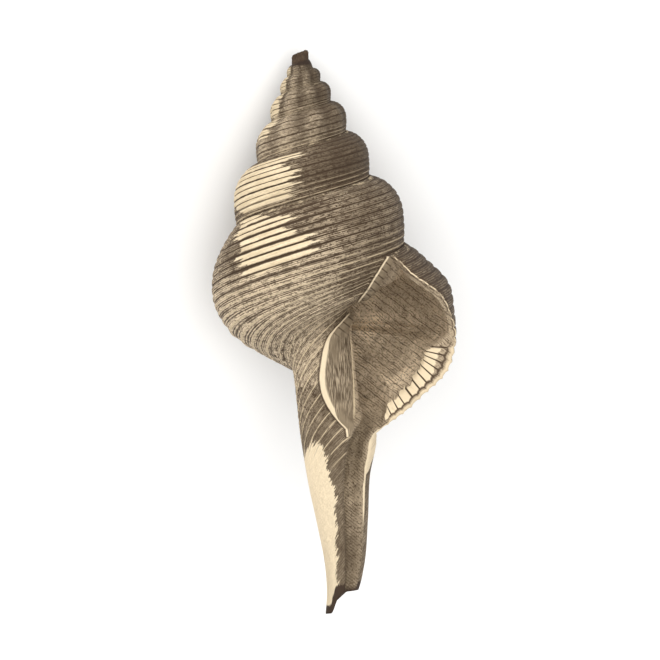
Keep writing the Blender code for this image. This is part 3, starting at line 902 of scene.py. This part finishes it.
    def skin(self) -> bmesh.types.BMesh:
        """The whole skin as one closed mesh, on the shell's own axis."""
        bm = bmesh.new()
        for name in ("Growth", "Front"):
            bm.loops.layers.uv.new(name)
        for name in ("Wear", "Edge"):
            bm.loops.layers.float_color.new(name)
        turn_rows = np.array(self.sculpture.rows(0, self.sculpture.cords))
        count = round(-self.law.first_growth / self.column)
        columns = np.linspace(-count * self.column, 0.0, count + 1)
        lip = self.lip_rows()
        low_rows = np.concatenate((lip[lip >= self.sculpture.cords], self.canal_rows()[1:]))
        last_turn = columns[columns > -360.0 - 0.01]
        self.outer_sheet(columns, turn_rows).add_to(bm)
        self.outer_sheet(last_turn, low_rows).add_to(bm)
        self.lining_sheet().add_to(bm)
        self.channel_sheet().add_to(bm)
        bmesh.ops.remove_doubles(bm, verts=bm.verts, dist=self.weld)
        self.close_ends(bm)
        bmesh.ops.recalc_face_normals(bm, faces=bm.faces)
        return bm

    def close_ends(self, bm: bmesh.types.BMesh) -> None:
        """Breaks the apex off in a ragged stub, and closes the canal's end and the cavity's inner end."""
        apex_edge = -float(self.law.seam_depth(self.stub_below))
        ring = [edge for edge in bm.edges if edge.is_boundary and edge.verts[0].co.z > apex_edge]
        top = -float(self.law.seam_depth(self.law.first_growth))
        broken = set()
        for shrink, rise in self.stub:
            grown = bmesh.ops.extrude_edge_only(bm, edges=ring)["geom"]
            verts = [part for part in grown if isinstance(part, bmesh.types.BMVert)]
            ring = [part for part in grown if isinstance(part, bmesh.types.BMEdge) and part.is_boundary]
            top += rise
            for vert in verts:
                around = math.atan2(vert.co.y, vert.co.x)
                rough = noise.noise(Vector((2.0 * math.cos(around), 2.0 * math.sin(around), 900.0 * top)))
                level = max(top, vert.co.z) + self.stub_lean * vert.co.x
                broad = shrink * (1 + self.stub_rough * rough)
                vert.co = Vector((broad * vert.co.x, broad * vert.co.y,
                                  level + self.stub_ragged * rough * (rise > 0.0002)))
                broken.update(vert.link_faces)
        open_edges = [edge for edge in bm.edges if edge.is_boundary]
        caps = bmesh.ops.holes_fill(bm, edges=open_edges, sides=0)["faces"]
        for face in list(broken) + caps:
            face.material_index = Part.BREAK.value
            face.smooth = face not in caps
        bmesh.ops.triangulate(bm, faces=caps)

    def build(self, finishes: list[bpy.types.Material]) -> bpy.types.Object:
        """Makes the shell's object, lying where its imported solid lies.

        Args:
            finishes: One material for each Part, in order.

        Returns:
            The shell.
        """
        bm = self.skin()
        for vert in bm.verts:
            vert.co.z += self.pose.lean * vert.co.x
        points = np.array([vert.co[:] for vert in bm.verts])
        self.local_box = points.min(axis=0), points.max(axis=0)
        bmesh.ops.transform(bm, matrix=self.pose.turn(), verts=bm.verts)
        low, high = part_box("shell")
        points = np.array([vert.co[:] for vert in bm.verts])
        mine_low, mine_high = points.min(axis=0), points.max(axis=0)
        self.move = Vector(((low.x + high.x - mine_low[0] - mine_high[0]) / 2,
                            (low.y + high.y - mine_low[1] - mine_high[1]) / 2, low.z - mine_low[2]))
        bmesh.ops.translate(bm, vec=self.move, verts=bm.verts)
        mesh = bpy.data.meshes.new("spindle_shell")
        bm.to_mesh(mesh)
        bm.free()
        for finish in finishes:
            mesh.materials.append(finish)
        shell = bpy.data.objects.new("spindle_shell", mesh)
        bpy.context.scene.collection.objects.link(shell)
        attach(shell, "root")
        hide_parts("shell")
        LOG.info("spindle_shell: %d faces", len(mesh.polygons))
        return shell

    def middle(self) -> Vector:
        """Point of the shell's axis plane that the camera looks at."""
        low, high = self.local_box
        local = Vector((0.5 * (low[0] + high[0]) + self.aim[0], 0.0, high[2] + self.aim[1]))
        return self.pose.turn() @ local + self.move


class Value:
    """A socket of a material's node tree, summed like a number."""

    def __init__(self, graph: Graph, socket: bpy.types.NodeSocket) -> None:
        """Keeps a socket and the material that it belongs to."""
        self.graph, self.socket = graph, socket

    def __add__(self, other: Value | float) -> Value:
        """Sum of the two."""
        return self.graph.math("ADD", self, other)

    def __sub__(self, other: Value | float) -> Value:
        """This less the other."""
        return self.graph.math("SUBTRACT", self, other)

    def __rsub__(self, other: float) -> Value:
        """The other less this."""
        return self.graph.math("SUBTRACT", other, self)

    def __mul__(self, other: Value | float) -> Value:
        """Product of the two."""
        return self.graph.math("MULTIPLY", self, other)

    def top(self, other: Value | float) -> Value:
        """The larger of the two."""
        return self.graph.math("MAXIMUM", self, other)

    def ease(self, low: Value | float, high: Value | float, start: float = 0.0, end: float = 1.0) -> Value:
        """Smooth change from start at low to end at high."""
        given = (self, low, high, start, end)
        return self.graph.made("ShaderNodeMapRange", given, interpolation_type="SMOOTHSTEP")

    def fade(self, low: Value | float, high: Value | float) -> Value:
        """Smooth change from 1 at low to 0 at high."""
        return self.ease(low, high, 1.0, 0.0)

    def line(self, every: float, width: Value | float) -> Value:
        """1 on thin lines at whole multiples of a spacing, 0 between them; width is half a line's."""
        return self.graph.math("PINGPONG", self, every / 2).fade(width * 0.45, width)


class Graph:
    """A material's node tree."""

    def __init__(self, name: str, roughness: float = 0.75) -> None:
        """Starts a material with a Principled surface.

        Args:
            name: The material's name.
            roughness: How dull it is.
        """
        self.material = bpy.data.materials.new(name)
        self.material.use_nodes = True
        self.tree = self.material.node_tree
        self.surface = self.tree.nodes["Principled BSDF"]
        self.surface.inputs["Roughness"].default_value = roughness
        self.surface.inputs["Specular IOR Level"].default_value = 0.25

    def node(self, kind: str, **settings: object) -> bpy.types.Node:
        """Adds a node and sets its properties."""
        made = self.tree.nodes.new(kind)
        for name, value in settings.items():
            setattr(made, name, value)
        return made

    def feed(self, socket: bpy.types.NodeSocket, value: Value | Colour | float) -> None:
        """Links a socket to another, or sets its colour or number."""
        if isinstance(value, Value):
            self.tree.links.new(value.socket, socket)
        else:
            socket.default_value = (*value, 1.0) if isinstance(value, tuple) else value

    def made(self, kind: str, values: tuple[Value | float, ...], **settings: object) -> Value:
        """Adds a node, feeds its first sockets in order, and gives its first result."""
        node = self.node(kind, **settings)
        for socket, value in zip(node.inputs, values):
            self.feed(socket, value)
        return Value(self, node.outputs[0])

    def math(self, operation: str, *values: Value | float) -> Value:
        """Result of one sum."""
        return self.made("ShaderNodeMath", values, operation=operation)

    def mix(self, share: Value | float, first: Value | Colour, second: Value | Colour) -> Value:
        """Mix of two colours."""
        made = self.node("ShaderNodeMix", data_type="RGBA")
        for index, value in ((0, share), (6, first), (7, second)):
            self.feed(made.inputs[index], value)
        return Value(self, made.outputs[2])

    def layers(self, base: Value, *layers: tuple[Value | float, Value | Colour]) -> Value:
        """Lays colours over a base, each with its share, the first one lowest."""
        for share, colour in layers:
            base = self.mix(share, base, colour)
        return base

    def parts(self, vector: bpy.types.NodeSocket) -> tuple[Value, ...]:
        """The three values of a vector."""
        made = self.node("ShaderNodeSeparateXYZ")
        self.tree.links.new(vector, made.inputs[0])
        return tuple(Value(self, output) for output in made.outputs)

    def map(self, name: str) -> tuple[Value, ...]:
        """The two values of one of the piece's maps."""
        return self.parts(self.node("ShaderNodeUVMap", uv_map=name).outputs[0])[:2]

    def values(self, name: str) -> tuple[Value, ...]:
        """The four values of one of the piece's attributes."""
        made = self.node("ShaderNodeAttribute", attribute_name=name)
        return (*self.parts(made.outputs["Vector"]), Value(self, made.outputs["Alpha"]))

    def grain(self, scale: float, detail: float = 3.0, rough: float = 0.55,
              where: Value | None = None) -> Value:
        """Smooth unevenness about 0.5, over the piece itself unless a vector is given."""
        made = self.node("ShaderNodeTexNoise")
        where = where or Value(self, self.node("ShaderNodeTexCoord").outputs["Object"])
        for name, value in (("Vector", where), ("Scale", scale), ("Detail", detail), ("Roughness", rough)):
            self.feed(made.inputs[name], value)
        return Value(self, made.outputs[0])

    def streaks(self, along: Value, across: Value, seed: float = 0.0, detail: float = 3.0,
                rough: float = 0.55) -> Value:
        """Unevenness drawn out over two directions, about 0.5."""
        return self.grain(1.0, detail, rough, self.made("ShaderNodeCombineXYZ", (along, across, seed)))

    def by_whole(self, value: Value) -> Value:
        """A number from 0 to 1 that is drawn for each whole part of a value."""
        made = self.node("ShaderNodeTexWhiteNoise", noise_dimensions="1D")
        self.feed(made.inputs["W"], self.math("FLOOR", value))
        return Value(self, made.outputs[0])

    def dress(self, colour: Value, height: Value | float = 0.0, depth: float = 0.0) -> bpy.types.Material:
        """Gives the surface its colour and the fine grain that is too small for the mesh.

        Args:
            colour: The colour.
            height: Height of the grain, 0 to 1.
            depth: Height of 1, in metres; 0 for no grain.

        Returns:
            The finished material.
        """
        self.feed(self.surface.inputs["Base Color"], colour)
        if depth:
            made = self.node("ShaderNodeBump")
            made.inputs["Strength"].default_value = 1.0
            made.inputs["Distance"].default_value = depth
            self.feed(made.inputs["Height"], height)
            self.feed(self.surface.inputs["Normal"], Value(self, made.outputs[0]))
        return self.material


@dataclass(frozen=True)
class Tones:
    """Colours of the old shell, in linear light."""

    taupe: Colour = (0.250, 0.192, 0.124)
    taupe_dark: Colour = (0.100, 0.070, 0.042)
    taupe_light: Colour = (0.61, 0.49, 0.34)
    cream: Colour = (0.64, 0.515, 0.335)
    cream_pale: Colour = (0.79, 0.655, 0.455)
    line: Colour = (0.062, 0.038, 0.021)
    # Dark brown for painted shade, and for darker tones on the canal.
    shade_brown: Colour = (0.112, 0.080, 0.049)
    ash: Colour = (0.48, 0.43, 0.36)
    umber: Colour = (0.050, 0.030, 0.018)


@dataclass(frozen=True)
class ShellFinish:
    """The dull, stained skin of the fossil, how it wears, and the shade and highlights painted on it.

    Spans are depths below the apex in millimetres, rows in cords, heights on the front in centimetres, growth
    in turns, or places across the lip, where 1 is the rim's inner side and 2 the end of the band of teeth.
    """

    tones: Tones = field(default_factory=Tones)
    canal_span: Span = (58.0, 65.0)
    bare_span: Span = (62.0, 68.0)
    neck_span: Span = (16.0, 18.0)
    strand: float = 0.25
    strand_width: float = 0.12
    groove_width: float = 0.24
    main_groove: float = 1.7
    fleck_fade: Span = (-3.0, -1.9)
    split_turns: Span = (-3.6, -1.4)
    seam_width: float = 0.22
    plate_top: Span = (-4.85, -4.65)
    # Heights of the painted highlight along part of the inner lip.
    fold_highlight_span: tuple[float, float, float, float] = (-6.15, -5.95, -4.95, -4.75)
    tooth_rows: Span = (11.9, 12.4)
    narrow_rows: Span = (14.2, 16.5)
    tooth_starts: Span = (1.50, 1.28)
    tooth_ends: Span = (1.96, 2.28)
    wall_breadth: float = 0.75
    pit_scale: float = 1500.0

    def patina(self, graph: Graph, bright: float = 1.0) -> Value:
        """Mottled grey-brown ground colour.

        Args:
            graph: The material.
            bright: How much paler than on the outside; in the mouth, painted light that lifts the cavity's
                shade.

        Returns:
            The colour.
        """
        plain, dark, light = (tuple(bright * part for part in tone)
                              for tone in (self.tones.taupe, self.tones.taupe_dark, self.tones.taupe_light))
        broad = graph.grain(90.0, 4.0, 0.6).ease(0.36, 0.66)
        small = graph.grain(620.0, 3.0, 0.6).ease(0.40, 0.70)
        return graph.mix(small * 0.45, graph.mix(broad * 0.75, plain, light), dark)

    def speckle(self, graph: Graph, along: Value, across: Value, amount: float) -> Value:
        """Dark flecks and short dashes that follow the cords.

        Args:
            graph: The material.
            along: Growth, in turns.
            across: Row, in cords.
            amount: 0 for none to 1 for many.

        Returns:
            The flecks.
        """
        dashes = graph.streaks(along * 75.0, across * 5.0, 0.0, 2.0, 0.7)
        both = dashes * 0.55 + graph.grain(2600.0, 2.0, 0.7) * 0.45
        return both.ease(0.59 - 0.07 * amount, 0.64 - 0.06 * amount)

    def pits(self, graph: Graph, share: float = 1.0) -> Value:
        """Fine pits all over a surface."""
        return graph.grain(self.pit_scale, 4.0, 0.65) * share

    def outside(self) -> bpy.types.Material:
        """Cords with dark sediment between them, cream wear that is partly a painted highlight, painted
        highlights on the threads' crests, painted shade on the right and between the ribs, and the inner lip's
        glaze.
        """
        graph, tones = Graph("weathered_cords"), self.tones
        along, across = graph.map("Growth")
        cream, threads, breadth, shade = graph.values("Wear")
        inside, depth, to_end, ribs = graph.values("Edge")
        right, up = graph.map("Front")
        on_canal, on_neck = depth.ease(*self.canal_span), across.ease(*self.neck_span)
        # The last value of the wear map is painted shade above 0 and painted highlight below it.
        painted_highlight, shadow = (shade * -1.0).top(0.0), shade.top(0.0)
        jitter = graph.streaks(along * 38.0, across * 1.3, 0.0, 3.0, 0.6)
        streak = graph.streaks(along * 16.0, across * 2.2, 3.0, 3.0, 0.6)
        mottle = graph.grain(900.0, 3.0, 0.7)
        row = across + (graph.streaks(along * 7.0, across * 0.4) - 0.5) * 0.16

        uneven = (graph.by_whole(across) - 0.5) * 0.40 + (graph.by_whole(across * 5.0) - 0.5) * 0.50
        # Cream on the left of the turns and of the canal: wear, and partly a painted highlight.
        worn_and_highlit = (cream + uneven + (streak - 0.5) * 0.9).ease(0.46, 0.54) * cream.ease(0.02, 0.25)
        pale = graph.mix(streak.ease(0.35, 0.7).top(on_canal), tones.cream, tones.cream_pale)
        # Painted shade on the right of the turns, and a darker tone over the canal.
        painted_shade = (shadow * streak.ease(0.2, 0.6, 0.65, 1.0)).top(on_canal * 0.3)
        # Painted shade in the hollows between the upper spire's ribs.
        shade_between_ribs = ribs * mottle.ease(0.30, 0.46) * 0.9
        hush = 1.0 - worn_and_highlit * 0.93
        strands = row.line(self.strand, jitter.ease(0.25, 0.72) * self.strand_width)
        presence = graph.streaks(along * 11.0, across * 1.1, 9.0, 2.0).ease(0.26, 0.48)
        flecks = self.speckle(graph, along, across, 1.3)
        amount = along.ease(*self.fleck_fade, 0.5, 0.95) * (1.0 - on_canal * 0.6) * (1.0 - painted_highlight * 0.25)
        slanted = ((up - right) * 20.0 + mottle * 0.9).line(1.0, 0.2)

        middle = row + 0.5
        # Painted highlights along the threads' crests.
        crest = graph.mix(on_neck, middle.line(1.0, 0.085), middle.line(2.0, 0.15))
        width = (jitter * self.groove_width + 0.03) * (breadth + 0.25)
        split = along.ease(*self.split_turns) * across.ease(*self.neck_span, 1.0, 0.3)
        grooves = row.line(2.0, width * self.main_groove).top((row + 1.0).line(2.0, width) * split)
        bare = depth.ease(*self.bare_span) * cream.ease(0.1, 0.5, 0.75, 1.0)
        near_lip = along.ease(-0.13, -0.05) * across.ease(14.0, 11.0)
        lip_hatch = (row + streak * 0.2).line(0.2, 0.055) * near_lip
        chips = graph.streaks(along * 26.0, across * 0.9, 6.0, 3.0, 0.7).ease(0.54, 0.58)
        chips = chips * across.ease(0.15, 0.3) * across.fade(0.55, 1.0)

        skin = graph.layers(self.patina(graph), (painted_highlight * 0.95, tones.taupe_light), (painted_shade, tones.shade_brown),
                            (shade_between_ribs, tones.taupe_dark), (worn_and_highlit, pale),
                            (strands * presence * hush * 0.92, tones.line),
                            (flecks * hush * amount, tones.line),
                            (slanted * on_canal * hush * 0.75, tones.taupe_dark),
                            (crest * threads * jitter.ease(0.30, 0.52) * 0.78, tones.cream),
                            (grooves * (1.0 - threads * 0.35) * (1.0 - bare), tones.line),
                            (lip_hatch * 0.85, tones.line), (chips * 0.75, tones.cream),
                            (across.fade(0.0, self.seam_width) * 0.85, tones.line))
        skin = self.glaze(graph, skin, inside, right, up)
        ends = to_end.fade(0.5, 2.2) + depth.fade(3.2, 4.6)
        ragged = (ends + (streak - 0.5) * 1.3).ease(0.40, 0.62) * ends.ease(0.0, 0.3)
        height = self.pits(graph, 0.6) - (strands * 0.25 + flecks * 0.3)
        return graph.dress(graph.mix(ragged, skin, tones.umber), height, 0.00012)

    def glaze(self, graph: Graph, skin: Value, inside: Value, right: Value, up: Value) -> Value:
        """Lays the inner lip's glaze over the skin: a striped plate with a pale rim that is partly a painted
        highlight, and a painted shadow just outside its edge.

        Args:
            graph: The material.
            skin: What it lies on.
            inside: How far inside the glaze's edge, in millimetres.
            right: Place across the front, in centimetres.
            up: Place up the front, in centimetres.

        Returns:
            The glazed skin.
        """
        tones = self.tones
        waver = graph.streaks(right * 3.0, up * 1.2)
        stripes = graph.streaks(right * 85.0, up * 5.0, 0.0, 2.0, 0.6)
        above = graph.mix((up * 6.5 + right * 6.2).line(1.0, 0.13) * 0.8, tones.taupe, tones.line)
        plate = graph.mix(stripes.ease(0.40, 0.72), tones.taupe_dark, tones.taupe_light)
        plate = graph.layers(plate, (waver.ease(0.40, 0.66), tones.taupe), (up.ease(*self.plate_top), above))
        edge = inside + (waver - 0.5) * 0.7
        breadth = up.ease(-4.6, -5.0, 0.35, 0.95) * up.ease(-6.10, -5.85, 0.3, 1.0)
        shadow = edge.ease(-0.45, -0.2) * edge.fade(-0.1, 0.02)
        rim = edge.ease(-0.12, 0.05) * edge.fade(breadth * 0.7, breadth)
        return graph.layers(skin, (edge.ease(0.0, 0.2), plate), (shadow * 0.8, tones.line),
                            (rim, tones.cream_pale))

    def lining(self) -> bpy.types.Material:
        """Inside of the mouth: grey-brown with dark lines, painted paler deep inside to lift its shade,
        painted shade near the edge at the top and beneath the rim, a painted highlight along part of the inner
        lip, a pale broken lip, and pale teeth low on it.
        """
        graph, tones = Graph("mouth_lining"), self.tones
        step, row = graph.map("Growth")
        right, up = graph.map("Front")
        side, teeth, _, _ = graph.values("Wear")
        waver = graph.streaks(right * 4.0, up * 4.0, 0.0, 4.0)
        slanted = (up * 0.72 + right * 0.69) * 9.0 + waver * 0.4
        lines = slanted.line(1.0, 0.085) * graph.grain(300.0, 2.0).ease(0.30, 0.52)
        hair = (slanted + waver * 0.8).line(0.333, 0.05) * graph.grain(700.0, 2.0).ease(0.42, 0.6)
        shadow = graph.mix(up.ease(-4.4, -3.9), tones.taupe, tones.shade_brown)
        flecks = self.speckle(graph, right * 0.4, up * 6.0, 1.1)

        first, last = self.tooth_ends
        ends = graph.by_whole(row) * (last - first) + first
        starts = row.ease(*self.narrow_rows, *self.tooth_starts)
        tooth = (step - starts).ease(-0.04, 0.04) * (step - ends).fade(-0.05, 0.02)
        tooth = tooth * teeth.ease(0.15, 0.35) * row.ease(*self.tooth_rows)
        gap = row.line(1.0, 0.12) * step.ease(1.12, 1.28) * step.ease(2.3, 2.0)
        gap = gap * teeth.ease(0.1, 0.3) * row.ease(11.4, 11.9)
        shut = step.ease(1.10, 1.18) * step.fade(1.20, 1.30) * teeth

        toothed = teeth.ease(0.3, 0.8)
        torn = graph.grain(420.0, 3.0, 0.7).ease(0.44, 0.54).top(toothed * 0.9)
        rim_end = teeth.ease(0.3, 0.8, 0.45, 1.12)
        rim = step.fade(rim_end - 0.15, rim_end) * torn * side.fade(0.4, 0.6)
        # A painted highlight along part of the inner lip, between two heights.
        low, low_end, high_end, high = self.fold_highlight_span
        fold_highlight = step.fade(0.9, 1.5) * side.ease(0.4, 0.6) * up.ease(high, high_end) * up.ease(low, low_end)
        # Painted shade beneath the rim on the outer lip, away from the teeth.
        shade_under_rim = step.ease(0.42, 0.52) * step.fade(0.75, 1.05) * teeth.fade(0.1, 0.5) * (1.0 - side)
        tooth_tone, rim_tone = (graph.mix(share, tones.cream_pale, tones.cream)
                                for share in (waver * 0.5, waver))
        # Deep inside, the patina is painted 2.2 times paler to lift the cavity's shade; near the edge it keeps
        # the outside's tone, with painted shade at the top.
        inner = graph.layers(self.patina(graph, 2.2), (0.22, tones.ash),
                             (up.ease(-5.55, -6.10) * 0.55, tones.taupe),
                             (step.ease(1.5, 3.2, 0.7, 0.0), shadow), (lines * 0.6, tones.line),
                             (hair * 0.8, tones.taupe_dark), (flecks * 0.5, tones.line), (tooth, tooth_tone),
                             (gap, tones.line), (shut * 0.9, tones.line), (fold_highlight * 0.6, tones.cream),
                             (shade_under_rim * torn * 0.7, tones.line), (rim * 0.92, rim_tone))
        return graph.dress(inner, self.pits(graph) - lines * 0.4, 0.0001)

    def channel(self) -> bpy.types.Material:
        """Inside of the canal: hatched grey-brown, with a pale right wall."""
        graph, tones = Graph("canal_channel"), self.tones
        _, along = graph.map("Growth")
        right, up = graph.map("Front")
        from_right, from_left, to_end, _ = graph.values("Wear")
        waver = graph.grain(260.0)
        hatch = ((up + right) * 18.2 + waver * 0.9).line(1.0, 0.2)
        middle = (from_left + (waver - 0.5) * 0.8).fade(0.1, 0.9)
        broad = along.ease(0.0, 0.85, self.wall_breadth, 0.0)
        wall = (from_right + (waver - 0.5) * 0.9).fade(broad - 0.2, broad) * along.ease(0.62, 0.50)
        # Darker towards the bottom.
        skin = graph.layers(self.patina(graph, 1.05), (up.ease(-7.0, -8.0, 0.0, 0.45), tones.shade_brown),
                            (hatch * waver.ease(0.36, 0.6, 0.25, 0.85), tones.taupe_dark),
                            (self.speckle(graph, right * 0.4, up * 6.0, 0.9) * 0.8, tones.line),
                            (middle * 0.55, tones.line), (wall, tones.cream_pale),
                            ((to_end + waver * 1.5).fade(0.9, 2.0), tones.umber))
        return graph.dress(skin, self.pits(graph) - hatch * 0.4, 0.0001)

    def broken(self) -> bpy.types.Material:
        """Dark, rough breaks at the apex and at the canal's end."""
        graph, tones = Graph("dark_break", 0.85), self.tones
        rough = graph.grain(1400.0, 5.0, 0.7)
        return graph.dress(graph.mix(rough.ease(0.45, 0.75), tones.umber, tones.taupe_dark), rough, 0.00025)

    def all(self) -> list[bpy.types.Material]:
        """One material for each Part, in order."""
        makers = {Part.OUTSIDE: self.outside, Part.LINING: self.lining, Part.CHANNEL: self.channel,
                  Part.BREAK: self.broken}
        return [makers[part]() for part in Part]


@dataclass(frozen=True)
class Studio:
    """A pale floor, soft light from the upper left, and a camera that faces the mouth."""

    frame_width: float = 0.1056
    lens: float = 330.0
    tilt: float = 3.58
    aside: float = 0.00015
    sensor: float = 36.0
    clip: Span = (0.05, 20.0)
    floor_size: float = 6.0
    floor_tones: tuple[Colour, Colour] = ((0.93, 0.93, 0.925), (0.95, 0.95, 0.945))
    key: float = 3.0
    key_from: tuple[float, float, float] = (-0.55, 0.42, 0.74)
    fill: float = 3.2
    fill_from: tuple[float, float, float] = (0.14, 0.02, 0.98)
    lamp_size: float = 0.7
    lamp_distance: float = 0.8
    lamp_tone: Colour = (1.0, 0.985, 0.96)
    sky: float = 0.86

    def lamp(self, name: str, energy: float, away: Vector, at: Vector) -> None:
        """Adds one soft square light that shines on a point.

        Args:
            name: Its name.
            energy: Its power in watts.
            away: Direction from the point to the light.
            at: The point.
        """
        data = bpy.data.lights.new(name, "AREA")
        data.energy, data.size = energy, self.lamp_size
        data.color = self.lamp_tone
        lamp = bpy.data.objects.new(name, data)
        lamp.location = at + self.lamp_distance * away.normalized()
        lamp.rotation_mode = "QUATERNION"
        lamp.rotation_quaternion = away.to_track_quat("Z", "Y")
        bpy.context.scene.collection.objects.link(lamp)

    def light(self, facing: Matrix, at: Vector) -> None:
        """Adds the key light, a second one from nearly in front and a little to the right, and the pale
        surroundings.

        Args:
            facing: The camera's turn, which the lights are placed by.
            at: What they shine on.
        """
        self.lamp("key", self.key, facing @ Vector(self.key_from), at)
        self.lamp("fill", self.fill, facing @ Vector(self.fill_from), at)
        world = bpy.data.worlds.new("pale_room")
        world.use_nodes = True
        room = world.node_tree.nodes["Background"]
        room.inputs["Color"].default_value = (1.0, 1.0, 1.0, 1.0)
        room.inputs["Strength"].default_value = self.sky
        bpy.context.scene.world = world

    def floor(self) -> None:
        """Adds the floor."""
        bm = bmesh.new()
        bmesh.ops.create_grid(bm, x_segments=2, y_segments=2, size=self.floor_size / 2)
        mesh = bpy.data.meshes.new("floor")
        bm.to_mesh(mesh)
        bm.free()
        graph = Graph("pale_floor", 0.9)
        mesh.materials.append(graph.dress(graph.mix(graph.grain(9.0, 2.0), *self.floor_tones)))
        floor = bpy.data.objects.new("floor", mesh)
        bpy.context.scene.collection.objects.link(floor)

    def camera(self, pose: RestPose, at: Vector) -> Matrix:
        """Adds the camera, looking straight at the mouth with the apex up and a little to the left.

        Args:
            pose: How the shell lies.
            at: What it looks at.

        Returns:
            The camera's turn.
        """
        turn = pose.turn().to_3x3()
        back, axis = turn @ Vector((0.0, -1.0, 0.0)), turn @ Vector((0.0, 0.0, 1.0))
        right = axis.cross(back).normalized()
        facing = Matrix((right, axis, back)).transposed() @ Matrix.Rotation(math.radians(-self.tilt), 3, "Z")
        data = bpy.data.cameras.new("camera")
        data.sensor_width, data.lens = self.sensor, self.lens
        data.clip_start, data.clip_end = self.clip
        distance = self.frame_width * self.lens / self.sensor
        camera = bpy.data.objects.new("camera", data)
        camera.location = at + distance * back + self.aside * right
        camera.rotation_mode = "QUATERNION"
        camera.rotation_quaternion = facing.to_quaternion()
        bpy.context.scene.collection.objects.link(camera)
        bpy.context.scene.camera = camera
        return facing

    def set_up(self, pose: RestPose, at: Vector) -> None:
        """Makes the whole studio."""
        self.floor()
        self.light(self.camera(pose, at), at)
        bpy.context.scene.view_settings.view_transform = "Standard"


def main() -> None:
    """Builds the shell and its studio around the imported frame."""
    logging.basicConfig(level=logging.INFO)
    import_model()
    shell = SpindleShell()
    shell.build(ShellFinish().all())
    Studio().set_up(shell.pose, shell.middle())


if __name__ == "__main__":
    main()
